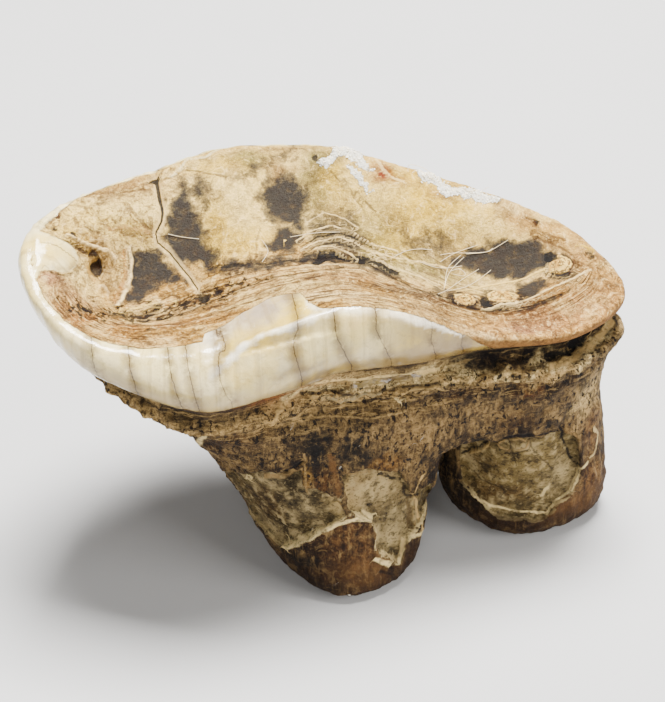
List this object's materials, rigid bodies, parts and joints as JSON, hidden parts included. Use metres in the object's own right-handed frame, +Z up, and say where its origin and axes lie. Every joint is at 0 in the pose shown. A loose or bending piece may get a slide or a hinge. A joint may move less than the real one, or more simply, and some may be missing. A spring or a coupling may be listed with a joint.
{
  "type": "fossil cave bear molar",
  "caption": "Fossil upper cheek tooth of a cave bear, heavily worn, with a broad enamel band, a dished chewing surface and blunt broken roots; a display or study specimen.",
  "frame": {"origin": "on the surface the tooth stands on, under the middle of its bounding box", "axes": "+X along the crown towards its low heel, +Y from the side with the broad enamel band to the far side, +Z up"},
  "size_m": [0.0436, 0.0232, 0.0267],
  "materials": {
    "tooth": "satin"
  },
  "bodies": {
    "root": {"molar": "tooth"}
  },
  "joints": []
}
